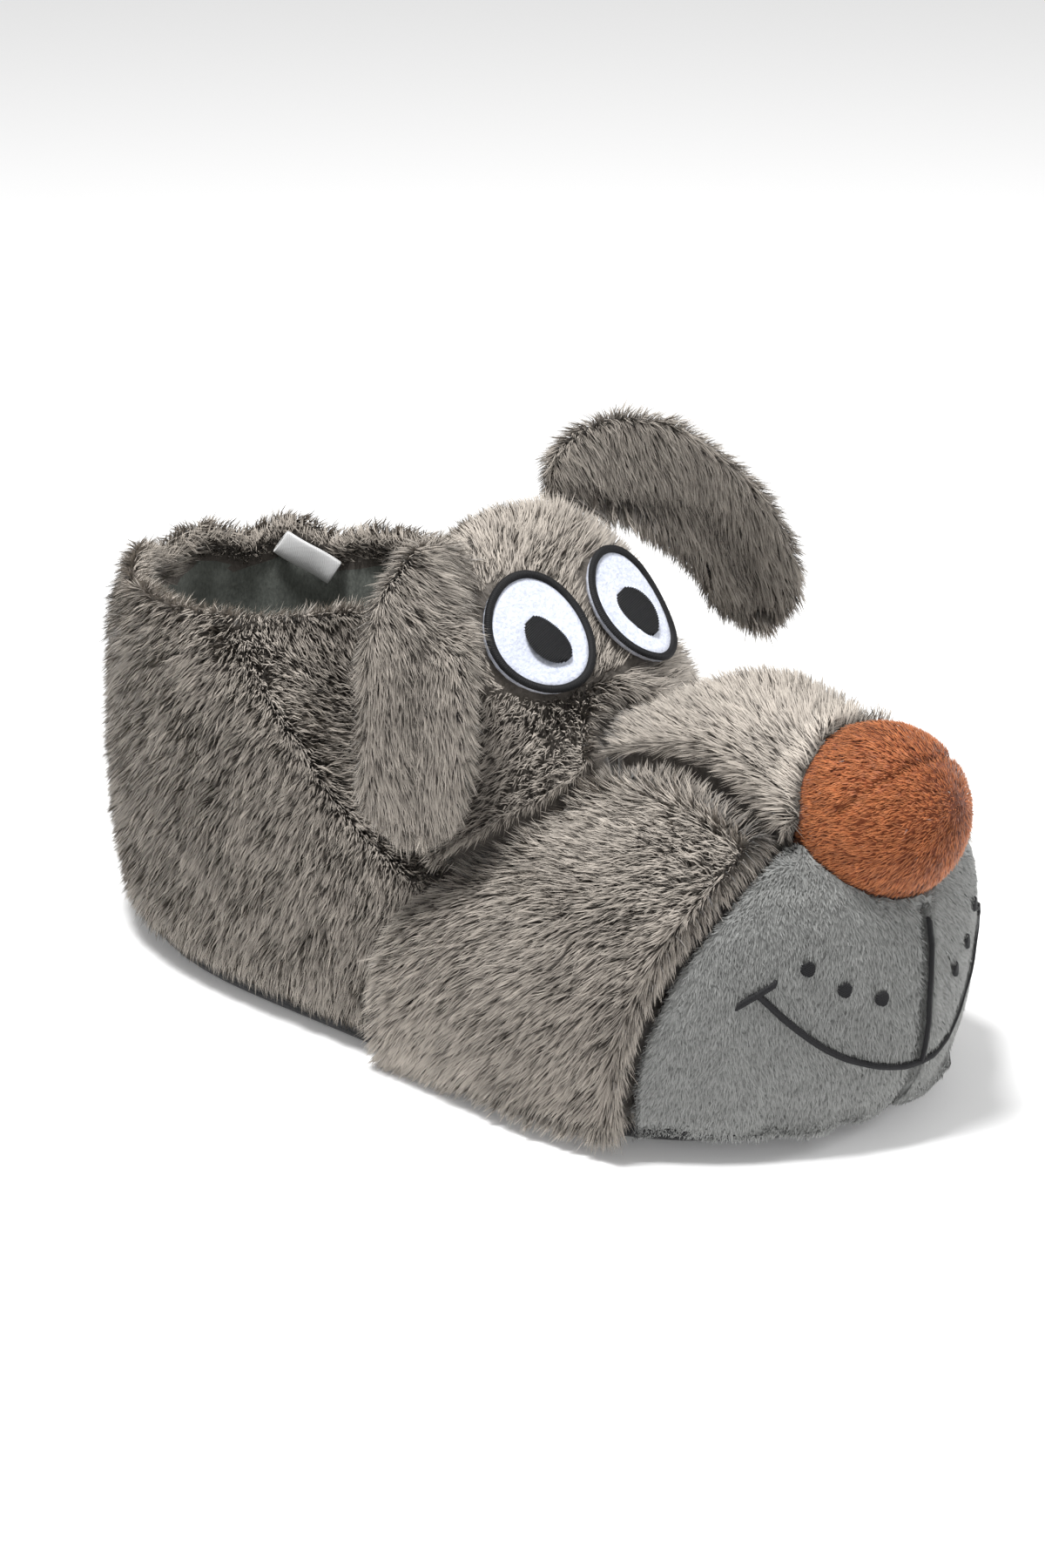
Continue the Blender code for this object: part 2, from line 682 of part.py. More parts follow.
def label():
    """A blank loop of ribbon inside the collar, folded at its lower edge."""
    outer = shell()
    inner = outer - WALL * grid_normals(outer)
    shares = collar_shares()
    k = int(np.argmin(np.abs(shares - LABEL_AROUND)))
    seat, below = inner[-1, k], inner[-3, k]
    down = (below - seat) / np.linalg.norm(below - seat)
    across = inner[-1, k + 1] - inner[-1, k - 1]
    across /= np.linalg.norm(across)
    away = np.cross(down, across)
    if away.dot(np.array([0, (COLLAR_FRONT + COLLAR_BACK) / 2, RIM_HEIGHT]) - seat) < 0:
        away = -away
    rings = []
    for t in np.linspace(-1, 1, 7):
        middle = seat + across * (t * LABEL_WIDTH / 2) + away * (2.7 * MM)
        lift = away * (LABEL_THICKNESS / 2)
        drop = down * LABEL_DROP
        ring = [middle - lift, middle + lift, middle + drop + lift, middle + drop - lift]
        rings.append(ring)
    return facing_out(node("label", *skin(rings), LABEL_CLOTH))


def ball(name, centre, radii, finish, rings=14, around=24, helper=False):
    """A closed ball with a point at its front and back."""
    angles = np.linspace(0, math.pi, rings + 1)[1:-1]
    turns = (np.arange(around) + 0.3) * 2 * math.pi / around
    points = [np.array(centre) + np.array([0, -radii[1], 0])]
    for a in angles:
        for t in turns:
            points.append(
                np.array(centre)
                + np.array(
                    [
                        radii[0] * math.sin(a) * math.cos(t),
                        -radii[1] * math.cos(a),
                        radii[2] * math.sin(a) * math.sin(t),
                    ]
                )
            )
    points.append(np.array(centre) + np.array([0, radii[1], 0]))
    faces = []
    last = len(points) - 1
    for i in range(around):
        j = (i + 1) % around
        faces.append((0, 1 + i, 1 + j))
        for r in range(rings - 2):
            a, b = 1 + r * around, 1 + (r + 1) * around
            faces.append((a + i, b + i, b + j, a + j))
        end = 1 + (rings - 2) * around
        faces.append((last, end + j, end + i))
    return facing_out(node(name, points, faces, finish, helper))


def ear(name, spine, side, root_facing, tip_facing):
    """A padded flap along a bent middle line. It is dished on the face that looks the way it is told."""
    share = 0.5 - 0.5 * np.cos(np.linspace(0, math.pi, EAR_RINGS))
    turns = np.linspace(0, 2 * math.pi, EAR_AROUND, endpoint=False)
    out, back, up = (smooth(spine, "along", name, share) for name in ("out", "back", "up"))
    depth = HEAD_BACK + (HEAD_FRONT - HEAD_BACK) * back
    places = np.stack([side * out * HEAD_WIDTH / 2, depth, up * BROW_HEIGHT], 1)
    along = np.gradient(places, axis=0)
    along /= np.linalg.norm(along, axis=1)[:, None]
    facings = np.outer(1 - ease(share * 1.6), root_facing) + np.outer(ease(share * 1.6), tip_facing)
    facings *= np.array([side, 1.0, 1.0])
    rings = []
    for k in range(EAR_RINGS):
        look = facings[k] - along[k] * facings[k].dot(along[k])
        look /= np.linalg.norm(look)
        across = np.cross(along[k], look)
        end = max(0.2, 1 - (2 * share[k] - 1) ** 8) ** 0.5
        half = EAR_WIDTH / 2 * smooth(spine, "along", "width", share[k]) * end
        thick = EAR_THICKNESS / 2 * smooth(spine, "along", "thickness", share[k]) * end
        dish = EAR_CUP * half * (1.4 * np.cos(turns) ** 2 - 0.7)
        lift = thick * np.sin(turns) + dish
        rings.append(places[k] + np.outer(half * np.cos(turns), across) + np.outer(lift, look))
    return facing_out(node(name, *skin(rings), FUR))


def main():
    clear_scene()
    tree = form_tree(*skin(closed_form()))
    upper()
    outsole()
    insole()
    cutter = facing_out(node("upper_form", *skin(closed_form(SEAT_GAP)), FUR, helper=True))
    socket = ball("nose_form", NOSE_PLACE, [NOSE_RADIUS + SEAM_GAP] * 3, NOSE_PLUSH, helper=True)
    ball("nose", NOSE_PLACE, [NOSE_RADIUS] * 3, NOSE_PLUSH)

    brow, behind = stuffed(forehead_grid(), tree)
    piece("forehead", brow, behind, FUR, cutter)
    brow_tree = form_tree(*slab(brow, behind))
    grown = brow + SEAT_GAP * sheet_normals(brow)
    brow_form = facing_out(node("forehead_form", *slab(grown, behind), FUR, helper=True))
    cut(piece("bridge", *stuffed(bridge_grid(), tree), FUR, cutter), socket)
    for name, side in (("right", -1), ("left", 1)):
        cut(piece("cheek_" + name, *stuffed(cheek_grid(side), tree), FUR, cutter), socket)
        cut(mouth("mouth_" + name, side, tree, cutter), socket)

    flap = ear("ear_right", HANGING_EAR, -1, (0.0, -0.9, 0.45), (0.75, -0.66, 0.0))
    cut(flap, brow_form)
    cut(flap, cutter)
    flap = ear("ear_left", LIFTED_EAR, 1, (-0.40, -0.88, 0.10), (-0.60, -0.75, 0.0))
    cut(flap, brow_form)
    cut(flap, cutter)
    top = SEAT_GAP + FELT_THICKNESS
    for name, side in (("right", -1), ("left", 1)):
        centre = (side * EYE_PLACE[0], EYE_PLACE[1])
        eye = patch("eye_" + name, centre, EYE_WIDTH, EYE_HEIGHT, brow_tree, -MM, top, FELT)
        cut(eye, brow_form)
        centre = (side * PUPIL_PLACE[0], PUPIL_PLACE[1])
        size = (PUPIL_WIDTH, PUPIL_WIDTH)
        low, high = top + SEAT_GAP, top + SEAT_GAP + PUPIL_THICKNESS
        patch("pupil_" + name, centre, *size, brow_tree, low, high, THREAD, rings=2, around=20)
    label()


def sheet_normals(grid):
    """Unit normals of an open grid, away from the core line."""
    rows, columns = np.gradient(grid, axis=0), np.gradient(grid, axis=1)
    normals = np.cross(rows, columns)
    normals /= np.linalg.norm(normals, axis=2)[:, :, None]
    out = -np.array([to_core(p) for p in grid.reshape(-1, 3)]).reshape(grid.shape)
    return normals * np.sign((normals * out).sum(axis=2))[:, :, None]


def form_tree(points, faces):
    return BVHTree.FromPolygons([Vector(p) for p in points], faces)


main()
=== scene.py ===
"""Looks of the plush dog slipper: long-pile fur on the upper, head and ears, short plush on mouth and nose,
felt eyes with stitched edges, a cloth lining and a cloth sole with grip dots."""
import math

import bpy
import numpy as np
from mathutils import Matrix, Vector, kdtree, noise
from mathutils.bvhtree import BVHTree


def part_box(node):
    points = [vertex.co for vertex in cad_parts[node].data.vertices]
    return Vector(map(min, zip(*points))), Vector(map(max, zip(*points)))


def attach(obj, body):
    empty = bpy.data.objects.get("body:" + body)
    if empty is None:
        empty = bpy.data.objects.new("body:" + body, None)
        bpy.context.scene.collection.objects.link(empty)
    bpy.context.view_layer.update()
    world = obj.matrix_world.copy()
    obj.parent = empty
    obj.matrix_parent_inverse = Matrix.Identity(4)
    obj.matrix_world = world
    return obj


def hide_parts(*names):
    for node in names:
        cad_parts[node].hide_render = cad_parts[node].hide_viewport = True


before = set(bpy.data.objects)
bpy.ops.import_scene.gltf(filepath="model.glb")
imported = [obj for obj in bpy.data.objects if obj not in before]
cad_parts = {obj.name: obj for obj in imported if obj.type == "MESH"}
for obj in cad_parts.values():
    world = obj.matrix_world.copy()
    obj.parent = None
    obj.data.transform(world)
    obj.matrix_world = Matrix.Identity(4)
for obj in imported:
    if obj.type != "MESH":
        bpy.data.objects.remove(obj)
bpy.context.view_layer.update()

MM = 0.001

# Camera: the photograph's viewpoint, closer in on the one shoe
CAMERA_PLACE = (-937.6 * MM, -926.0 * MM, 526.8 * MM)
CAMERA_AIM = (-2 * MM, -6 * MM, 68 * MM)
CAMERA_LENS = 112.0

# Studio
FLOOR_HALF = 4.0
WORLD_STRENGTH = 0.45

# Fur
PILE = 7.6 * MM
SKIN_DEPTH = 6.0 * MM
MOST_OF_THICKNESS = 0.55
HAIR_WIDTH = 0.40 * MM
HAIRS_PER_MM2 = 2.15
CLUMPS_PER_MM2 = 0.9
EDGE_OF_FUR_INSIDE = 15 * MM
LEAST_ROOM = 2.5 * MM
EAR_PILE = 8.5 * MM
EAR_HAIRS_PER_MM2 = 2.6
EAR_HOLLOW = 4.5 * MM
PLEAT_DEPTH = 1.2 * MM

# Seeds of the random draws
UPPER_SEED = 11
HEAD_SEED = 20
EAR_SEED = 30
MOUTH_SEED = 40
NOSE_SEED = 50

# Short plush on the mouth and the nose, and the cloth under it
NAP = 2.0 * MM
NAP_WIDTH = 0.42 * MM
NAP_PER_MM2 = 3.4
NAP_CLOTH_DEPTH = 0.8 * MM

# Seam over the nose, as a groove
NOSE_GROOVE = 1.6 * MM
NOSE_GROOVE_WIDTH = 1.5 * MM

# Sewing
BORDER_WIDTH = 2.4 * MM
LINE_WIDTH = 1.6 * MM
DOT_SIZE = 4.2 * MM
BORDER_PITCH = 0.55 * MM
LINE_PITCH = 0.6 * MM
DOT_PITCH = 0.5 * MM
LINE_SLANT = 0.9
BORDER_SLANT = 0.12
BORDER_INSET = 0.955
RAISED = 0.5 * MM
PUPIL_TURN = 0.35
DOT_TURN = 0.4

# Smile, in millimetres on the mouth: half its length, its lowest height and its rise to the ends
SMILE_HALF = 45
SMILE_LOW = 25
SMILE_RISE = 27
DOT_PLACES = ((15, 47), (25, 51), (34, 58))
SEAM_TOP = 66
SEAM_ASIDE = 0.6 * MM

# Sole
GRIP_DOT = 3.2 * MM
GRIP_PITCH = 8.5 * MM
GRIP_HEIGHT = 0.8 * MM

# Collar, for telling the inside of the upper from its outside
COLLAR_MIDDLE = (0.0, 85 * MM)
RIM_WAYS = 24


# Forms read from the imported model
class Form:
    """A node's welded surface: points, triangles, smooth normals and face normals."""

    def __init__(self, name):
        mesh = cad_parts[name].data
        places = np.array([v.co for v in mesh.vertices])
        mesh.calc_loop_triangles()
        corners = np.array([t.vertices for t in mesh.loop_triangles])
        cells = np.round(places / (0.01 * MM))
        firsts, welded = np.unique(cells, axis=0, return_index=True, return_inverse=True)[1:]
        self.points = places[firsts]
        self.faces = welded.reshape(-1)[corners]
        a, b, c = (self.points[self.faces[:, k]] for k in range(3))
        across = np.cross(b - a, c - a)
        self.areas = np.linalg.norm(across, axis=1) / 2
        good = self.areas > 1e-12
        self.faces, across, self.areas = self.faces[good], across[good], self.areas[good]
        self.face_normals = across / (2 * self.areas[:, None])
        normals = np.zeros_like(self.points)
        for k in range(3):
            np.add.at(normals, self.faces[:, k], across)
        self.normals = unit(normals)

    def tree(self):
        return BVHTree.FromPolygons(self.points.tolist(), self.faces.tolist())


def unit(v):
    return v / np.maximum(np.linalg.norm(v, axis=-1, keepdims=True), 1e-12)


FORMS = {name: Form(name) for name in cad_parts}


def joined_tree(names):
    points, faces, start = [], [], 0
    for name in names:
        points.append(FORMS[name].points)
        faces.append(FORMS[name].faces + start)
        start += len(FORMS[name].points)
    return BVHTree.FromPolygons(np.concatenate(points).tolist(), np.concatenate(faces).tolist())


ALL_FORMS = joined_tree(FORMS)


# Meshes
def linked(name, data):
    """A new object in the scene."""
    obj = bpy.data.objects.new(name, data)
    bpy.context.scene.collection.objects.link(obj)
    return obj


def placed(name, mesh, node):
    """An object that stands for a node and rides on the one body."""
    obj = linked(name, mesh)
    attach(obj, "root")
    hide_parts(node)
    return obj


def piece(name, points, faces, materials, node):
    """A smooth mesh from points and faces."""
    mesh = bpy.data.meshes.new(name)
    mesh.from_pydata(np.asarray(points).tolist(), [], [list(map(int, f)) for f in faces])
    mesh.polygons.foreach_set("use_smooth", np.ones(len(mesh.polygons), bool))
    for material in materials:
        mesh.materials.append(material)
    mesh.update()
    return placed(name, mesh, node)


def subdivided(obj, levels):
    """Applies a subdivision surface to the object."""
    modifier = obj.modifiers.new("smooth", "SUBSURF")
    modifier.levels = modifier.render_levels = levels
    depsgraph = bpy.context.evaluated_depsgraph_get()
    mesh = bpy.data.meshes.new_from_object(obj.evaluated_get(depsgraph))
    old = obj.data
    obj.modifiers.clear()
    obj.data = mesh
    bpy.data.meshes.remove(old)
    return obj


def mesh_arrays(obj):
    """The points and vertex normals of an object's mesh."""
    mesh = obj.data
    points = np.empty(len(mesh.vertices) * 3)
    mesh.vertices.foreach_get("co", points)
    normals = np.empty(len(mesh.vertices) * 3)
    mesh.vertex_normals.foreach_get("vector", normals)
    return points.reshape(-1, 3), normals.reshape(-1, 3)


def moved(obj, points):
    obj.data.vertices.foreach_set("co", np.asarray(points).ravel())
    obj.data.update()


def field(points, scale, seed, detail=1):
    """Smooth noise from about -1 to 1 at each point."""
    shift = Vector((seed * 7.31, seed * 3.17, seed * 5.71))
    values = [noise.fractal(Vector(p) / scale + shift, 0.7, 2.0, detail) for p in points.tolist()]
    return np.array(values)


# Materials
def material(name):
    mat = bpy.data.materials.new(name)
    mat.use_nodes = True
    tree = mat.node_tree
    return mat, tree.nodes, tree.links, tree.nodes["Principled BSDF"]


def ramp(nodes, stops):
    """A colour ramp with the given (place, colour) stops."""
    node = nodes.new("ShaderNodeValToRGB")
    elements = node.color_ramp.elements
    while len(elements) < len(stops):
        elements.new(0.5)
    for element, (place, colour) in zip(elements, stops):
        element.position = place
        element.color = (*colour, 1)
    return node


def noise_node(nodes, links, coords, scale, detail=3.0, roughness=0.6, stretch=(1, 1, 1)):
    mapping = nodes.new("ShaderNodeMapping")
    mapping.inputs["Scale"].default_value = stretch
    links.new(coords, mapping.inputs["Vector"])
    tex = nodes.new("ShaderNodeTexNoise")
    tex.inputs["Scale"].default_value = scale
    tex.inputs["Detail"].default_value = detail
    tex.inputs["Roughness"].default_value = roughness
    links.new(mapping.outputs[0], tex.inputs["Vector"])
    return tex


def bump(nodes, links, height, shader, strength, distance):
    node = nodes.new("ShaderNodeBump")
    node.inputs["Strength"].default_value = strength
    node.inputs["Distance"].default_value = distance
    links.new(height, node.inputs["Height"])
    links.new(node.outputs[0], shader.inputs["Normal"])


def maths(nodes, links, operation, *values):
    """A sum or product of sockets and numbers."""
    node = nodes.new("ShaderNodeMath")
    node.operation = operation
    for place, value in zip(node.inputs, values):
        if isinstance(value, float):
            place.default_value = value
        else:
            links.new(value, place)
    return node.outputs[0]


def hair_material(name, root, middle, tip, dim, bright, roughness, sheen):
    """Colour runs from root to tip along each hair, and each hair has its own shade."""
    mat, nodes, links, shader = material(name)
    uv = nodes.new("ShaderNodeUVMap")
    uv.uv_map = "OFBake"
    parts = nodes.new("ShaderNodeSeparateXYZ")
    links.new(uv.outputs[0], parts.inputs[0])
    along = ramp(nodes, [(0.0, root), (0.40, middle), (0.95, tip)])
    links.new(parts.outputs["Y"], along.inputs[0])
    shade = ramp(nodes, [(0.0, dim), (1.0, bright)])
    links.new(parts.outputs["X"], shade.inputs[0])
    mix = nodes.new("ShaderNodeMix")
    mix.data_type = "RGBA"
    mix.blend_type = "MULTIPLY"
    mix.inputs["Factor"].default_value = 1.0
    links.new(along.outputs[0], mix.inputs["A"])
    links.new(shade.outputs[0], mix.inputs["B"])
    links.new(mix.outputs["Result"], shader.inputs["Base Color"])
    shader.inputs["Roughness"].default_value = roughness
    shader.inputs["Specular IOR Level"].default_value = 0.3
    shader.inputs["Sheen Weight"].default_value = sheen
    shader.inputs["Sheen Roughness"].default_value = 0.4
    return mat


def cloth_material(name, dark, light, scale, roughness, height, stretch=(1, 1, 1), sheen=0.2):
    """A cloth with soft uneven colour and a fine nap."""
    mat, nodes, links, shader = material(name)
    coords = nodes.new("ShaderNodeTexCoord").outputs["Object"]
    broad = noise_node(nodes, links, coords, 45, 3.0)
    fine = noise_node(nodes, links, coords, scale, 4.0, 0.65, stretch)
    share = maths(nodes, links, "MULTIPLY", broad.outputs["Fac"], 0.35)
    total = maths(nodes, links, "MULTIPLY_ADD", fine.outputs["Fac"], 0.65, share)
    colour = ramp(nodes, [(0.35, dark), (0.65, light)])
    links.new(total, colour.inputs[0])
    links.new(colour.outputs[0], shader.inputs["Base Color"])
    shader.inputs["Roughness"].default_value = roughness
    shader.inputs["Specular IOR Level"].default_value = 0.2
    shader.inputs["Sheen Weight"].default_value = sheen
    bump(nodes, links, fine.outputs["Fac"], shader, 0.6, height)
    return mat


def woven_material(name, dark, light, pitch, roughness, height, sheen=0.15):
    """A plain weave of the given thread pitch, with uneven colour."""
    mat, nodes, links, shader = material(name)
    coords = nodes.new("ShaderNodeTexCoord").outputs["Object"]
    waves = []
    for axis in ("X", "Y", "Z"):
        wave = nodes.new("ShaderNodeTexWave")
        wave.bands_direction = axis
        wave.inputs["Scale"].default_value = 0.314 / pitch
        wave.inputs["Distortion"].default_value = 1.2
        wave.inputs["Detail"].default_value = 1.0
        wave.inputs["Detail Scale"].default_value = 1.5
        links.new(coords, wave.inputs["Vector"])
        waves.append(wave.outputs["Fac"])
    first = maths(nodes, links, "ADD", waves[0], waves[1])
    total = maths(nodes, links, "ADD", first, waves[2])
    third = maths(nodes, links, "DIVIDE", total, 3.0)
    broad = noise_node(nodes, links, coords, 60, 3.0)
    blend = nodes.new("ShaderNodeMix")
    blend.inputs["Factor"].default_value = 0.5
    links.new(third, blend.inputs["A"])
    links.new(broad.outputs["Fac"], blend.inputs["B"])
    colour = ramp(nodes, [(0.3, dark), (0.7, light)])
    links.new(blend.outputs["Result"], colour.inputs[0])
    links.new(colour.outputs[0], shader.inputs["Base Color"])
    shader.inputs["Roughness"].default_value = roughness
    shader.inputs["Specular IOR Level"].default_value = 0.25
    shader.inputs["Sheen Weight"].default_value = sheen
    bump(nodes, links, third, shader, 0.7, height)
    return mat


LONG_FUR = hair_material(
    "long_fur", (0.105, 0.092, 0.080), (0.270, 0.241, 0.212), (0.580, 0.528, 0.468),
    (0.60, 0.595, 0.59), (1.22, 1.205, 1.185), 0.65, 0.10,
)
MOUTH_NAP = hair_material(
    "mouth_nap", (0.120, 0.122, 0.118), (0.195, 0.198, 0.191), (0.300, 0.303, 0.293),
    (0.72, 0.72, 0.72), (1.20, 1.20, 1.20), 0.6, 0.10,
)
NOSE_NAP = hair_material(
    "nose_nap", (0.085, 0.018, 0.006), (0.260, 0.068, 0.020), (0.560, 0.210, 0.080),
    (0.50, 0.48, 0.46), (1.35, 1.30, 1.25), 0.6, 0.10,
)
FUR_SKIN = cloth_material("fur_skin", (0.070, 0.062, 0.054), (0.140, 0.125, 0.110), 900, 0.95, 0.6 * MM)
MOUTH_CLOTH = cloth_material(
    "mouth_cloth", (0.150, 0.153, 0.148), (0.260, 0.264, 0.255), 1500, 0.9, 0.25 * MM
)
NOSE_CLOTH = cloth_material("nose_cloth", (0.110, 0.025, 0.008), (0.220, 0.056, 0.018), 1500, 0.85, 0.25 * MM)
LINING = cloth_material(
    "lining_cloth", (0.085, 0.093, 0.083), (0.180, 0.192, 0.172), 1300, 0.95, 0.3 * MM, (1, 1, 0.45)
)
FELT = cloth_material("eye_felt", (0.44, 0.47, 0.56), (0.68, 0.71, 0.80), 900, 0.95, 0.8 * MM, sheen=0.1)
THREAD = cloth_material(
    "black_thread", (0.004, 0.004, 0.005), (0.014, 0.014, 0.015), 2500, 0.6, 0.1 * MM, sheen=0.0
)
SOLE_CLOTH = woven_material(
    "sole_weave", (0.020, 0.020, 0.021), (0.060, 0.060, 0.062), 0.9 * MM, 0.9, 0.2 * MM
)
GRIP = cloth_material(
    "grip_dots", (0.018, 0.018, 0.019), (0.035, 0.035, 0.036), 600, 0.45, 0.05 * MM, sheen=0.0
)
RIBBON = woven_material("ribbon", (0.62, 0.62, 0.62), (0.86, 0.86, 0.86), 0.35 * MM, 0.45, 0.06 * MM)


# Hair
def scatter(form, density, rng):
    """Seeded places on a form: points, smooth normals and face normals."""
    total = form.areas.sum() / MM**2
    count = int(total * density)
    steps = np.cumsum(form.areas)
    which = np.searchsorted(steps, rng.random(count) * steps[-1]).clip(0, len(form.areas) - 1)
    r = np.sqrt(rng.random(count))
    s = rng.random(count)
    weights = np.stack([1 - r, r * (1 - s), r * s], 1)
    corners = form.faces[which]
    places = (form.points[corners] * weights[:, :, None]).sum(1)
    normals = unit((form.normals[corners] * weights[:, :, None]).sum(1))
    return places, normals, form.face_normals[which]


def depth_at(form, places, normals, depth):
    """The depth, or less where the form is thin."""
    tree = form.tree()
    depths = np.full(len(places), depth)
    for k, (p, n) in enumerate(zip(places.tolist(), normals.tolist())):
        way = -Vector(n)
        away = tree.ray_cast(Vector(p) + way * (0.2 * MM), way, 4 * depth)[3]
        if away is not None:
            depths[k] = min(depth, MOST_OF_THICKNESS * away)
    return depths


def uncovered(places, normals, room=LEAST_ROOM):
    """Which places have room above them."""
    free = np.empty(len(places), bool)
    for k, (p, n) in enumerate(zip(places.tolist(), normals.tolist())):
        way = Vector(n)
        hit = ALL_FORMS.ray_cast(Vector(p) + way * (0.05 * MM), way, room)[0]
        free[k] = hit is None
    return free


def nearest(places, centres):
    """The index of the nearest centre to each place."""
    tree = kdtree.KDTree(len(centres))
    for k, c in enumerate(centres.tolist()):
        tree.insert(c, k)
    tree.balance()
    return np.array([tree.find(p)[1] for p in places.tolist()])


def flow(normals, way):
    """The part of a direction that lies along the surface."""
    way = np.broadcast_to(way, normals.shape)
    return unit(way - normals * (way * normals).sum(1, keepdims=True))


def hair_mesh(name, roots, middles, tips, across, normals, shades, width, mat, node):
    """Blades of three triangles, or of one without middles, with their shade and length on the map."""
    count = len(roots)
    half = across * (width / 2)[:, None]
    if middles is None:
        corners = [roots - half, roots + half, tips]
        shape, sizes, along = [0, 1, 2], [3], [0.30, 0.30, 0.98]
    else:
        corners = [roots - half, roots + half, middles + half * 0.8, middles - half * 0.8, tips]
        shape, sizes, along = [0, 1, 2, 3, 3, 2, 4], [4, 3], [0.02, 0.02, 0.55, 0.55, 0.55, 0.55, 0.98]
    points = np.stack(corners, 1).reshape(-1, 3)
    points[:, 2] = np.maximum(points[:, 2], 0.2 * MM)
    loops = (np.arange(count)[:, None] * len(corners) + shape).ravel()
    sizes = np.tile(sizes, count)
    mesh = bpy.data.meshes.new(name)
    mesh.vertices.add(len(points))
    mesh.vertices.foreach_set("co", points.ravel())
    mesh.loops.add(len(loops))
    mesh.loops.foreach_set("vertex_index", loops.astype(np.int32))
    mesh.polygons.add(len(sizes))
    mesh.polygons.foreach_set("loop_start", np.concatenate([[0], np.cumsum(sizes)[:-1]]).astype(np.int32))
    mesh.update(calc_edges=True)
    mesh.polygons.foreach_set("use_smooth", np.ones(len(sizes), bool))
    mesh.materials.append(mat)
    uv = mesh.uv_layers.new(name="OFBake")
    along = np.tile(along, count)
    shade = np.repeat(0.02 + 0.96 * shades.clip(0, 1), len(shape))
    uv.data.foreach_set("uv", np.stack([shade, along], 1).ravel())
    mesh.normals_split_custom_set_from_vertices(np.repeat(normals, len(corners), axis=0).tolist())
    mesh.validate()
    placed(name, mesh, node)


def ear_hollow(node, facing, depth):
    """A soft valley along the middle of an ear's face: how deep it is at each place."""
    facing = unit(np.array(facing))
    points = FORMS[node].points
    middle = points.mean(0)
    main = np.linalg.svd(points - middle, full_matrices=False)[2][0]
    along = (points - middle) @ main
    bins = np.linspace(along.min(), along.max(), 9)
    spots = np.array(
        [points[np.abs(along - b) < (bins[1] - bins[0]) * 0.8].mean(0) for b in bins]
    )
    ahead = unit(np.gradient(spots, axis=0))
    sideways = unit(np.cross(ahead, facing))

    def hollow(places, normals):
        t = (places - middle) @ main
        centre = np.stack([np.interp(t, bins, spots[:, k]) for k in range(3)], 1)
        across = unit(np.stack([np.interp(t, bins, sideways[:, k]) for k in range(3)], 1))
        off = ((places - centre) * across).sum(1)
        front = (normals @ facing).clip(0, 1)
        end = 1 - np.exp(-((np.minimum(t - bins[0], bins[-1] - t).clip(0) / (12 * MM)) ** 2))
        return depth * np.exp(-((off / (4.2 * MM)) ** 2)) * front * end

    return hollow


def fur(
    name, node, seed, comb, keep=None, density=HAIRS_PER_MM2, pile=PILE, lift=0.88, shade=0.5, parts=None,
    hollow=None,
):
    """Long-pile fur on the free outside of a node, combed along a direction field."""
    rng = np.random.default_rng(seed)
    form = FORMS[node]
    places, normals, flats = scatter(form, density, rng)
    chosen = np.ones(len(places), bool) if keep is None else keep(places, flats)
    places, normals, flats = places[chosen], normals[chosen], flats[chosen]
    free = uncovered(places, flats)
    places, normals = places[free], normals[free]
    count = len(places)

    combed = flow(normals, comb(places, normals))
    sideways = np.cross(normals, combed)
    swirl = 0.55 * field(places, 16 * MM, seed)
    clump_count = max(8, int(count * CLUMPS_PER_MM2 / HAIRS_PER_MM2))
    centres = rng.choice(count, clump_count, replace=False)
    owner = nearest(places, places[centres])
    clump = centres[owner]
    tilt = rng.normal(0, 0.13, (clump_count, 3))[owner] + rng.normal(0, 0.12, (count, 3))
    rise = (lift + 0.14 * field(places, 11 * MM, seed + 1)).clip(0.4, 0.98)
    lay = np.sqrt(np.maximum(0.05, 1 - rise**2))
    way = unit(
        normals * rise[:, None]
        + combed * (lay * np.cos(swirl))[:, None]
        + sideways * (lay * np.sin(swirl))[:, None]
        + tilt
    )
    lengths = pile * rng.uniform(0.78, 1.08, count) * (1 + 0.10 * rng.normal(0, 1, clump_count)[owner])
    depths = depth_at(form, places, normals, SKIN_DEPTH)
    # Painted highlight: hairs are made lighter where the form is thin, at the rims of the collar and the
    # ears.
    edge = 1 - (depths / SKIN_DEPTH).clip(0, 1)
    if hollow is not None:
        dent = hollow(places, normals)
        depths = depths + dent
        # Painted shade: hairs in the ear's hollow are made darker, as well as set deeper.
        edge = edge - 0.5 * dent / SKIN_DEPTH
    roots = places - normals * depths[:, None]
    bend = unit(way + 0.22 * combed - 0.05 * normals + np.array([0, 0, -0.08]))
    middles = roots + unit(way + 0.25 * normals) * (lengths * 0.52)[:, None]
    tips = middles + bend * (lengths * 0.48)[:, None]
    gather = 0.34
    middles = middles + (middles[clump] + (places - places[clump]) * 0.55 - middles) * gather * 0.5
    tips = tips + (tips[clump] + (places - places[clump]) * 0.25 - tips) * gather

    turn = rng.uniform(-0.9, 0.9, count)
    side = unit(np.cross(way, normals) + 1e-6)
    across = unit(side * np.cos(turn)[:, None] + np.cross(way, side) * np.sin(turn)[:, None])
    lit = unit(normals + 0.35 * way + 0.22 * rng.normal(0, 1, (clump_count, 3))[owner])
    # Each hair's shade: its base, the painted highlight on thin edges, painted shade in ear hollows, smooth
    # noise, and random tone per clump and per hair.
    shades = (
        shade
        + 0.5 * edge
        + 0.16 * field(places, 9 * MM, seed + 2)
        + rng.normal(0, 0.09, clump_count)[owner]
        + rng.normal(0, 0.10, count)
    )
    width = HAIR_WIDTH * rng.uniform(0.7, 1.25, count)
    group = np.zeros(count, int) if parts is None else parts(places)
    for k in np.unique(group):
        pick = group == k
        label = name if parts is None else f"{name}_{k + 1}"
        hair_mesh(
            label, roots[pick], middles[pick], tips[pick], across[pick], lit[pick], shades[pick],
            width[pick], LONG_FUR, node,
        )


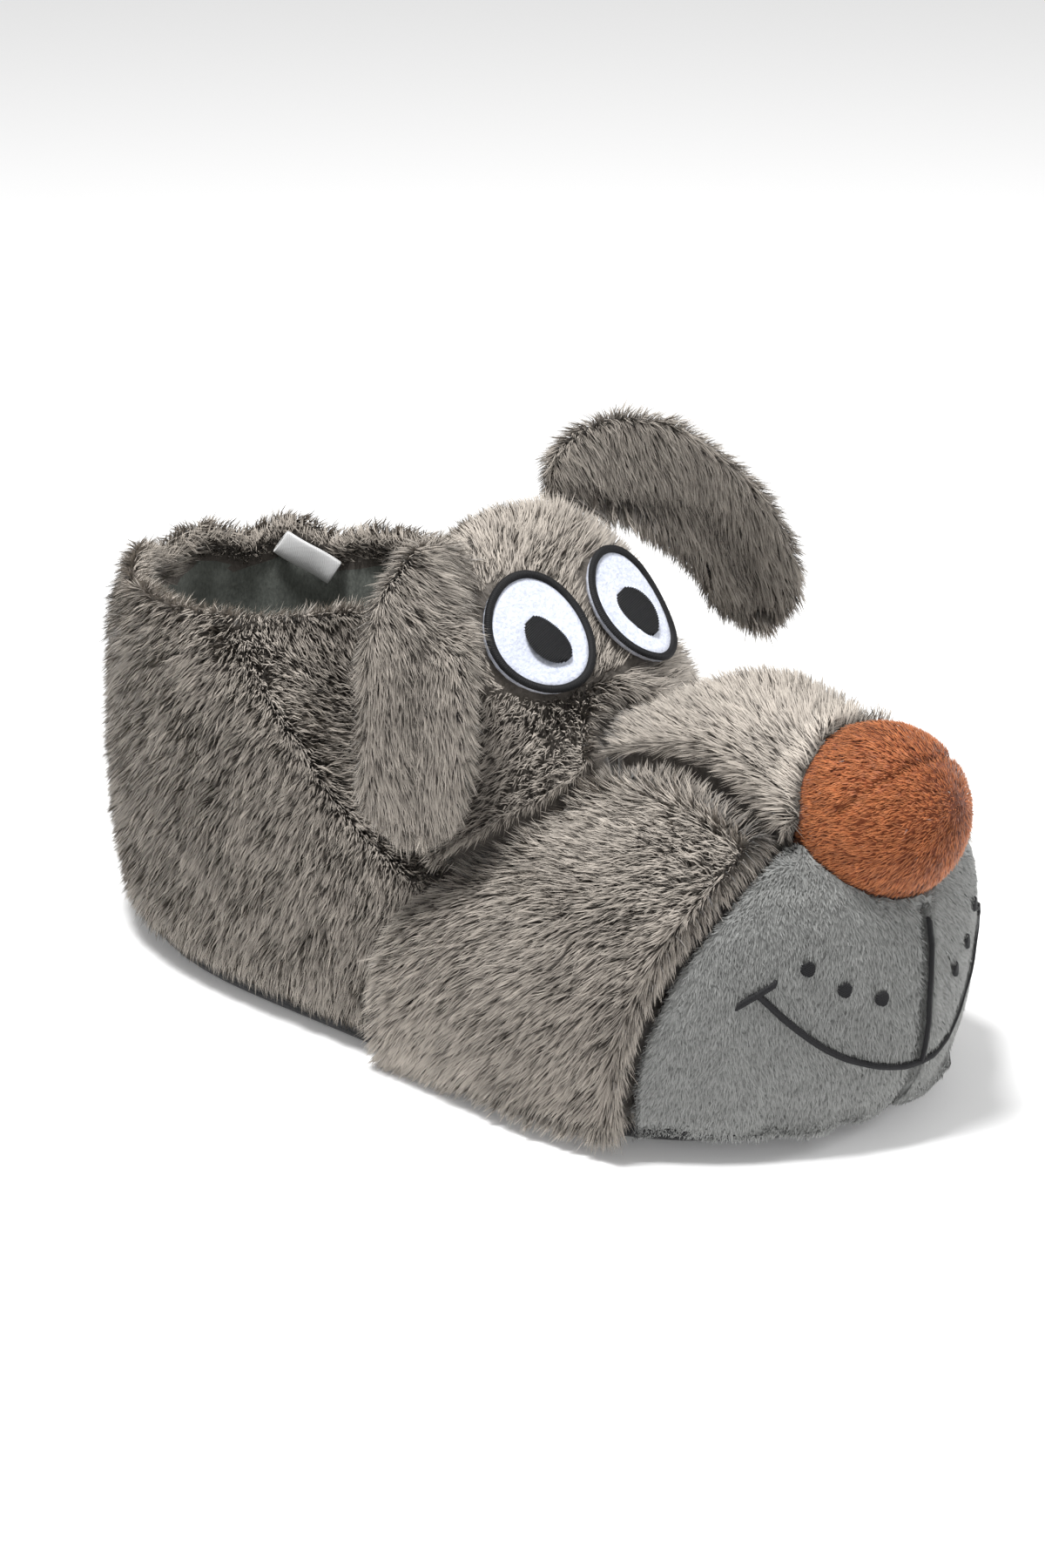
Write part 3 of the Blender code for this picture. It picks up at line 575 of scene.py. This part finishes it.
def nap(name, node, seed, comb, mat, groove, free_room=1.0 * MM, depth=0.5 * MM):
    """Short plush: fine hairs lying along a direction."""
    rng = np.random.default_rng(seed)
    places, normals, flats = scatter(FORMS[node], NAP_PER_MM2, rng)
    free = uncovered(places, flats, free_room)
    places, normals = places[free], normals[free]
    places = places - normals * groove(places)[:, None]
    count = len(places)
    combed = flow(normals, comb)
    sideways = np.cross(normals, combed)
    swirl = 0.5 * field(places, 13 * MM, seed) + rng.normal(0, 0.22, count)
    rise = 0.42 + 0.1 * field(places, 6 * MM, seed + 1)
    way = unit(
        normals * rise[:, None] + combed * np.cos(swirl)[:, None] + sideways * np.sin(swirl)[:, None]
        + rng.normal(0, 0.10, (count, 3))
    )
    lengths = NAP * rng.uniform(0.7, 1.15, count)
    roots = places - normals * depth
    tips = roots + way * lengths[:, None]
    across = unit(np.cross(way, normals) + 0.3 * rng.normal(0, 1, (count, 3)))
    lit = unit(normals + 0.30 * rng.normal(0, 1, (count, 3)))
    shades = 0.5 + 0.30 * field(places, 3.5 * MM, seed + 2, 2) + rng.normal(0, 0.09, count)
    width = NAP_WIDTH * rng.uniform(0.7, 1.3, count)
    hair_mesh(name, roots, None, tips, across, lit, shades, width, mat, node)


# Skins under the fur
def skin(name, node, depth, cloth, levels=1, hollow=None):
    """The node's form, drawn in under the pile."""
    form = FORMS[node]
    free = uncovered(form.points, form.normals)
    depths = np.where(free, depth_at(form, form.points, form.normals, depth), 0.0)
    if hollow is not None:
        depths = depths + 0.5 * hollow(form.points, form.normals)
    points = form.points - form.normals * depths[:, None]
    obj = subdivided(piece(name, points, form.faces, [cloth], node), levels)
    return obj


def collar_rim():
    """The rim's height for each direction around the collar."""
    points = FORMS["upper"].points
    angle = np.arctan2(points[:, 0], points[:, 1] - COLLAR_MIDDLE[1])
    bins = ((angle / (2 * math.pi) + 0.5) * RIM_WAYS).astype(int) % RIM_WAYS
    heights = np.zeros(RIM_WAYS)
    np.maximum.at(heights, bins, points[:, 2])
    return heights


RIM = collar_rim()


def below_rim(places):
    """How far each place lies below the rim."""
    angle = np.arctan2(places[:, 0], places[:, 1] - COLLAR_MIDDLE[1])
    share = (angle / (2 * math.pi) + 0.5) * RIM_WAYS - 0.5
    low = np.floor(share).astype(int)
    part = share - low
    height = RIM[low % RIM_WAYS] * (1 - part) + RIM[(low + 1) % RIM_WAYS] * part
    return height - places[:, 2]


def faces_inwards(places, normals):
    """Which places of the upper look at the foot's space."""
    middle = np.zeros((len(places), 3))
    middle[:, 1] = places[:, 1].clip(-80 * MM, 90 * MM)
    middle[:, 2] = 45 * MM
    return ((middle - places) * normals).sum(1) > 0


def outside_of_upper(places, normals):
    """Which places of the upper carry fur: its outside, and the inside close under the rim."""
    near_rim = (below_rim(places) < EDGE_OF_FUR_INSIDE) & (places[:, 1] > 20 * MM)
    return ~faces_inwards(places, normals) | near_rim


def comb_body(places, normals):
    """Down and slightly towards the toe on the walls, and outwards over the rim."""
    way = np.tile([0.0, -0.45, -1.0], (len(places), 1))
    out = places - np.array([*COLLAR_MIDDLE, 0.0])
    out[:, 2] = 0
    inner = faces_inwards(places, normals)
    way[inner] = unit(out[inner]) + np.array([0.0, 0.0, 0.8])
    return way


def comb_head(places, normals):
    """Backwards and down the sides."""
    way = np.zeros_like(places)
    way[:, 1] = 0.3
    way[:, 0] = np.sign(places[:, 0]) * 0.3
    way[:, 2] = -0.7
    return way


def comb_bridge(places, normals):
    """Straight back, away from the nose."""
    return np.tile([0.0, 1.0, 0.15], (len(places), 1))


def comb_brow(places, normals):
    """Up and outwards over the brow."""
    way = np.zeros_like(places)
    way[:, 0] = places[:, 0] / (60 * MM)
    way[:, 1] = 0.3
    way[:, 2] = np.where(places[:, 2] > 110 * MM, 0.5, -0.6)
    return way


def comb_ear(places, normals):
    return np.tile([0.0, -0.25, -1.0], (len(places), 1))


upper_form = FORMS["upper"]
inner = faces_inwards(upper_form.points, upper_form.normals)
inner_depth = np.where(below_rim(upper_form.points) < EDGE_OF_FUR_INSIDE, 3.5, 0.6) * MM
free = uncovered(upper_form.points, upper_form.normals)
skin_depths = np.where(inner, inner_depth, np.where(free, SKIN_DEPTH, 0.6 * MM))
skin_points = upper_form.points - upper_form.normals * skin_depths[:, None]
upper_skin = subdivided(
    piece("upper_skin", skin_points, upper_form.faces, [FUR_SKIN, LINING], "upper"), 1
)
centres = np.array([p.center for p in upper_skin.data.polygons])
directions = np.array([p.normal for p in upper_skin.data.polygons])
lined = ~outside_of_upper(centres, directions)
upper_skin.data.polygons.foreach_set("material_index", lined.astype(np.int32))
points, normals = mesh_arrays(upper_skin)
drop = below_rim(points)
around = np.arctan2(points[:, 0], points[:, 1] - COLLAR_MIDDLE[1])
pleats = np.sin(around * 17 + 1.5 * np.sin(around * 4)) * np.exp(-(((drop - 26 * MM) / (15 * MM)) ** 2))
pleats = pleats * faces_inwards(points, normals) * (drop > EDGE_OF_FUR_INSIDE * 0.6)
pleat_depths = PLEAT_DEPTH * (pleats + 0.6) * (np.abs(pleats) > 0)
moved(upper_skin, points - normals * pleat_depths[:, None])


def thirds(places):
    """Left side, right side and heel, so no piece of fur grows too large."""
    return np.where(places[:, 1] > 105 * MM, 2, (places[:, 0] > 0).astype(int))


fur("upper_fur", "upper", UPPER_SEED, comb_body, outside_of_upper, parts=thirds)
for k, node in enumerate(("forehead", "bridge", "cheek_left", "cheek_right")):
    skin(node + "_skin", node, SKIN_DEPTH, FUR_SKIN)
    comb = {"forehead": comb_brow, "bridge": comb_bridge}.get(node, comb_head)
    fur(node + "_fur", node, HEAD_SEED + k, comb, lift=0.93)
EAR_FACING = {"ear_left": (-0.60, -0.75, 0.0), "ear_right": (-0.75, -0.66, 0.0)}
for k, node in enumerate(("ear_left", "ear_right")):
    hollow = ear_hollow(node, EAR_FACING[node], EAR_HOLLOW)
    skin(node + "_skin", node, SKIN_DEPTH * 0.8, FUR_SKIN, hollow=hollow)
    fur(
        node + "_fur", node, EAR_SEED + k, comb_ear, density=EAR_HAIRS_PER_MM2, pile=EAR_PILE, lift=0.78,
        shade=0.42, hollow=hollow,
    )


def puckers(places):
    """How deep the soft folds of the mouth lie: gathers up from its lower edge, and broad dents."""
    turn = np.arctan2(places[:, 0], -places[:, 1] - 60 * MM)
    low = np.exp(-(((places[:, 2] - 8 * MM) / (17 * MM)) ** 2))
    folds = 0.5 + 0.5 * np.sin(turn * 21 + 2.0 * np.sin(turn * 5 + 1.0))
    return 1.5 * MM * low * folds**2 + 0.7 * MM * field(places, 17 * MM, 8).clip(0, 1)


for k, node in enumerate(("mouth_left", "mouth_right")):
    plush = skin(node + "_plush", node, NAP_CLOTH_DEPTH, MOUTH_CLOTH, levels=2)
    points, normals = mesh_arrays(plush)
    moved(plush, points - normals * puckers(points)[:, None])
    nap(node + "_nap", node, MOUTH_SEED + k, np.array([0.3, 0.5, -1.0]), MOUTH_NAP, puckers)


def nose_groove(places):
    """How deep the seam that crosses the ball over its top front lies."""
    low, high = (np.array(c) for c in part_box("nose"))
    middle, radius = (low + high) / 2, (high[2] - low[2]) / 2
    off = (places - middle) @ np.array([0, 0.721, 0.693]) - 0.045 * radius
    front = (places[:, 1] < middle[1]) & (np.abs(places[:, 0]) < 0.93 * radius)
    return NOSE_GROOVE * np.exp(-((off / NOSE_GROOVE_WIDTH) ** 2)) * front


nose_skin = skin("nose_plush", "nose", NAP_CLOTH_DEPTH, NOSE_CLOTH, levels=2)
points, normals = mesh_arrays(nose_skin)
moved(nose_skin, points - normals * nose_groove(points)[:, None])
nap("nose_nap", "nose", NOSE_SEED, np.array([-0.4, 1.0, -0.3]), NOSE_NAP, nose_groove)


# Sewing
def stitches(name, centres, ways, normals, halves, thick, arch, node, slot, mat=THREAD):
    """Short threads, each arching over the cloth along its own direction."""
    stations = np.array([-1.0, -0.6, 0.0, 0.6, 1.0])
    angles = np.radians([-85, -30, 30, 85])
    sides = unit(np.cross(ways, normals))
    count = len(centres)
    rise = arch * (1 - stations**2) - thick * 0.6 * (np.abs(stations) > 0.9)
    middle = (
        centres[:, None]
        + ways[:, None] * (halves[:, None] * stations)[:, :, None]
        + normals[:, None] * rise[None, :, None]
    )
    taper = np.where(np.abs(stations) > 0.9, 0.7, 1.0)
    ring = (
        middle[:, :, None]
        + sides[:, None, None] * (thick / 2 * taper[:, None] * np.sin(angles))[None, :, :, None]
        + normals[:, None, None] * (thick / 2 * taper[:, None] * np.cos(angles))[None, :, :, None]
    )
    points = ring.reshape(-1, 3)
    faces = []
    for s in range(4):
        for a in range(3):
            low = s * 4 + a
            faces.append((low, low + 1, low + 5, low + 4))
    faces = (np.arange(count)[:, None, None] * 20 + np.array(faces)[None]).reshape(-1, 4)
    piece(name, points, faces, [mat], node)


def band(name, path, normals, width, pitch, slant, node, closed=False, lift=0.4 * MM):
    """A row of slanted black stitches along a path on the cloth."""
    path = np.asarray(path)
    if closed:
        path = np.concatenate([path, path[:1]])
        normals = np.concatenate([normals, normals[:1]])
    run = np.concatenate([[0], np.cumsum(np.linalg.norm(np.diff(path, axis=0), axis=1))])
    at = np.arange(pitch / 2, run[-1], pitch)
    spot = np.stack([np.interp(at, run, path[:, k]) for k in range(3)], 1)
    normal = unit(np.stack([np.interp(at, run, normals[:, k]) for k in range(3)], 1))
    ahead = np.stack([np.interp(at + pitch, run, path[:, k]) for k in range(3)], 1)
    behind = np.stack([np.interp(at - pitch, run, path[:, k]) for k in range(3)], 1)
    tangent = unit(ahead - behind)
    side = unit(np.cross(normal, tangent))
    way = unit(side * math.cos(slant) + tangent * math.sin(slant))
    halves = np.full(len(at), width / 2 / math.cos(slant))
    stitches(name, spot + normal * lift, way, normal, halves, pitch * 1.6, width * 0.16, node, "thread")


def on_surface(tree, start, way):
    """Where a ray meets the surface and the way the surface faces, or None."""
    hit, normal = tree.ray_cast(Vector(start), Vector(way))[:2]
    if hit is None:
        return None
    return np.array(hit), np.array(normal if normal.dot(Vector(way)) < 0 else -normal)


def smooth_normals(normals, times=3):
    """The normals along a path, evened out over their neighbours."""
    normals = np.array(normals)
    for _ in range(times):
        ahead = np.roll(normals, -1, axis=0)
        behind = np.roll(normals, 1, axis=0)
        ahead[-1], behind[0] = normals[-1], normals[0]
        normals = unit(normals + 0.5 * ahead + 0.5 * behind)
    return normals


def oval(name, centre, facing, up, half_width, half_height, tree, node, pitch, turn):
    """An oval filled with parallel black threads, lying on a surface, turned in its plane."""
    across = np.cross(up, facing)
    first = across * math.cos(turn) + up * math.sin(turn)
    second = up * math.cos(turn) - across * math.sin(turn)
    spots, ways, normals, halves = [], [], [], []
    for t in np.arange(-half_height + pitch / 2, half_height, pitch):
        chord = half_width * math.sqrt(max(0.0, 1 - (t / half_height) ** 2))
        if chord < 0.4 * MM:
            continue
        hit = on_surface(tree, centre + second * t + facing * 20 * MM, -facing)
        if hit is None:
            continue
        spots.append(hit[0] + facing * RAISED)
        ways.append(first)
        normals.append(facing)
        halves.append(chord)
    arrays = [np.array(v) for v in (spots, ways, normals, halves)]
    stitches(name, *arrays, pitch * 1.3, half_width * 0.10, node, "thread")


EYE_SLOPE = math.radians(49)
EYE_UP = np.array([0, math.cos(EYE_SLOPE), math.sin(EYE_SLOPE)])
EYE_FACING = np.array([0, -math.sin(EYE_SLOPE), math.cos(EYE_SLOPE)])
for side in ("left", "right"):
    eye = FORMS["eye_" + side]
    piece(f"eye_{side}_felt", eye.points, eye.faces, [FELT], "eye_" + side)
    low, high = (np.array(c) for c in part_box("eye_" + side))
    centre = (low + high) / 2
    half_width = (high[0] - low[0]) / 2
    half_height = np.abs((eye.points - centre) @ EYE_UP).max()
    tree = eye.tree()
    path, normals = [], []
    for t in np.linspace(0, 2 * math.pi, 72, endpoint=False):
        flat = BORDER_INSET * np.array([math.cos(t) * half_width, math.sin(t) * half_height])
        start = centre + np.array([flat[0], 0, 0]) + EYE_UP * flat[1] + EYE_FACING * 20 * MM
        hit = on_surface(tree, start, -EYE_FACING)
        if hit is not None:
            path.append(hit[0])
            normals.append(hit[1])
    band(
        f"eye_{side}_border", path, smooth_normals(normals), BORDER_WIDTH, BORDER_PITCH, BORDER_SLANT,
        "eye_" + side, closed=True,
    )
    low, high = (np.array(c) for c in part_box("pupil_" + side))
    half_width = (high[0] - low[0]) / 2
    oval(
        f"pupil_{side}_satin", (low + high) / 2, EYE_FACING, EYE_UP, half_width, half_width * 1.12, tree,
        "pupil_" + side, BORDER_PITCH, PUPIL_TURN,
    )

MOUTH_TREE = joined_tree(["mouth_left", "mouth_right"])
MOUTH_NODE = {1: "mouth_left", -1: "mouth_right"}


def on_mouth(x, z):
    """A place on the mouth's pile, seen from the front, and the way it faces."""
    place, facing = on_surface(MOUTH_TREE, (x, -0.3, z), (0, 1, 0))
    return place - facing * puckers(place[None])[0], facing


for side, word in ((1, "left"), (-1, "right")):
    shares = np.linspace(0.0, 1.0, 60)
    hits = [
        on_mouth(side * (0.3 + SMILE_HALF * t) * MM, (SMILE_LOW + SMILE_RISE * t**2.3) * MM) for t in shares
    ]
    path = np.array([h[0] for h in hits])
    normals = smooth_normals([h[1] for h in hits], 8)
    band(f"smile_{word}", path, normals, LINE_WIDTH, LINE_PITCH, LINE_SLANT, MOUTH_NODE[side])
    tick = [
        on_mouth(side * (SMILE_HALF - 3.7 + 8 * t) * MM, (SMILE_LOW + SMILE_RISE + 2.5 - 6 * t) * MM)
        for t in np.linspace(0, 1, 12)
    ]
    band(
        f"smile_end_{word}", np.array([h[0] for h in tick]), smooth_normals([h[1] for h in tick]), LINE_WIDTH,
        LINE_PITCH, LINE_SLANT, MOUTH_NODE[side],
    )
    for k, (x, z) in enumerate(DOT_PLACES):
        spot, facing = on_mouth(side * x * MM, z * MM)
        up = unit(np.array([0, 0, 1.0]) - facing * facing[2])
        oval(
            f"dot_{word}_{k + 1}", spot, facing, up, DOT_SIZE / 2, DOT_SIZE / 2, MOUTH_TREE, MOUTH_NODE[side],
            DOT_PITCH, DOT_TURN,
        )
seam = [on_mouth(-SEAM_ASIDE, z * MM) for z in np.linspace(SMILE_LOW, SEAM_TOP, 30)]
band(
    "mouth_seam", np.array([h[0] for h in seam]) + [SEAM_ASIDE, 0, 0], np.tile([0, -1.0, 0], (len(seam), 1)),
    LINE_WIDTH * 0.9, LINE_PITCH, LINE_SLANT, "mouth_left",
)

# Insole and sole
skin("insole_pad", "insole", 0.3 * MM, LINING)
skin("outsole_cloth", "outsole", GRIP_HEIGHT, SOLE_CLOTH, levels=0)


# Label
def label_loop():
    """A folded loop of ribbon, sewn to the lining by its two ends."""
    points = FORMS["label"].points
    middle = points.mean(0)
    across, down, away = np.linalg.svd(points - middle, full_matrices=False)[2]
    down = down if down[2] < 0 else -down
    half_width = 0.85 * np.abs((points - middle) @ across).max()
    half_drop = np.abs((points - middle) @ down).max()
    profile = []
    for t in np.linspace(0, 2 * math.pi, 25):
        profile.append((-math.cos(t) * half_drop, math.sin(t) * 1.5 * MM * (1 - 0.5 * math.cos(t))))
    rows = np.linspace(-half_width, half_width, 9)
    grid = []
    for x in rows:
        wave = 0.35 * MM * math.sin(3 * x / half_width)
        grid.append([middle + across * x + down * p + away * (q + wave) for p, q in profile])
    count = len(profile)
    faces = []
    for r in range(len(rows) - 1):
        for c in range(count - 1):
            k = r * count + c
            faces.append((k, k + 1, k + count + 1, k + count))
    loop = piece("label_loop", np.array(grid).reshape(-1, 3), faces, [RIBBON], "label")
    solid = loop.modifiers.new("thickness", "SOLIDIFY")
    solid.thickness = 0.35 * MM
    subdivided(loop, 1)


label_loop()


# Insole stitching and the dots under the sole
INSOLE_TREE = FORMS["insole"].tree()
path = []
for t in np.linspace(0, 2 * math.pi, 90, endpoint=False):
    way = Vector((math.cos(t), math.sin(t), 0))
    starts = [Vector((0, 0, 0.1)) + way * r * MM for r in range(20, 135)]
    hits = [INSOLE_TREE.ray_cast(start, Vector((0, 0, -1)))[0] for start in starts]
    hits = [h for h in hits if h is not None]
    path.append(np.array(hits[max(0, len(hits) - 6)]))
path = np.array(path)
run = unit(np.roll(path, -1, axis=0) - np.roll(path, 1, axis=0))
stitches(
    "insole_stitching", path + [0, 0, 0.2 * MM], run, np.tile([0, 0, 1.0], (len(path), 1)),
    np.full(len(path), 1.9 * MM), 0.7 * MM, 0.25 * MM, "insole", "lining", LINING,
)


def grip_dots():
    """Small domes in offset rows under the sole, down to the floor."""
    tree = FORMS["outsole"].tree()
    low, high = (np.array(c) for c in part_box("outsole"))
    turns = np.linspace(0, 2 * math.pi, 10, endpoint=False)
    points, faces = [], []
    up = Vector((0, 0, 1))
    for row, y in enumerate(np.arange(low[1] + 9 * MM, high[1] - 8 * MM, GRIP_PITCH * 0.866)):
        for x in np.arange(-7, 8) * GRIP_PITCH + ((row + 1) % 2) * GRIP_PITCH / 2:
            spots = [tree.ray_cast(Vector((x + dx, y, -0.1)), up)[0] for dx in (-7 * MM, 0, 7 * MM)]
            if any(s is None for s in spots) or max(s[2] for s in spots) - spots[1][2] > 0.6 * MM:
                continue
            base = spots[1][2]
            start = len(points)
            for share, drop in ((1.0, 0.0), (0.8, 0.65), (0.4, 0.95)):
                for t in turns:
                    reach = GRIP_DOT / 2 * share
                    points.append(
                        (x + reach * math.cos(t), y + reach * math.sin(t), base + GRIP_HEIGHT * (1 - drop))
                    )
            for ring in range(2):
                for i in range(10):
                    j = (i + 1) % 10
                    a = start + ring * 10
                    faces.append((a + j, a + i, a + 10 + i, a + 10 + j))
            faces.append(tuple(start + 20 + i for i in reversed(range(10))))
    piece("grip_dots", points, faces, [GRIP], "outsole")


grip_dots()


# Floor, lights and camera
def floor():
    mesh = bpy.data.meshes.new("floor")
    corners = [(-FLOOR_HALF, -FLOOR_HALF, 0), (FLOOR_HALF, -FLOOR_HALF, 0)]
    corners += [(FLOOR_HALF, FLOOR_HALF, 0), (-FLOOR_HALF, FLOOR_HALF, 0)]
    mesh.from_pydata(corners, [], [(0, 1, 2, 3)])
    obj = linked("floor", mesh)
    mat, _, _, shader = material("floor_white")
    shader.inputs["Base Color"].default_value = (0.93, 0.93, 0.93, 1)
    shader.inputs["Roughness"].default_value = 0.7
    shader.inputs["Emission Color"].default_value = (1, 1, 1, 1)
    shader.inputs["Emission Strength"].default_value = 0.12
    mesh.materials.append(mat)


def area_light(name, place, aim, size, power):
    light = bpy.data.lights.new(name, "AREA")
    light.shape = "DISK"
    light.size = size
    light.energy = power
    obj = linked(name, light)
    obj.location = place
    obj.rotation_euler = (Vector(aim) - Vector(place)).to_track_quat("-Z", "Y").to_euler()


def camera():
    data = bpy.data.cameras.new("camera")
    data.sensor_fit = "VERTICAL"
    data.sensor_height = 36
    data.lens = CAMERA_LENS
    data.clip_start = 0.05
    obj = linked("camera", data)
    obj.location = CAMERA_PLACE
    obj.rotation_euler = (Vector(CAMERA_AIM) - Vector(CAMERA_PLACE)).to_track_quat("-Z", "Y").to_euler()
    bpy.context.scene.camera = obj


floor()
area_light("key", (-0.45, -0.1, 1.5), (0, 0, 0.06), 0.45, 33)
area_light("fill", (-0.9, -1.4, 0.8), (0, 0, 0.05), 0.7, 4)
area_light("side", (1.1, -0.9, 0.7), (0, -0.08, 0.08), 0.4, 7)
bpy.context.scene.view_settings.view_transform = "Standard"
world = bpy.data.worlds.new("studio")
world.use_nodes = True
world.node_tree.nodes["Background"].inputs["Color"].default_value = (1, 1, 1, 1)
world.node_tree.nodes["Background"].inputs["Strength"].default_value = WORLD_STRENGTH
bpy.context.scene.world = world
camera()
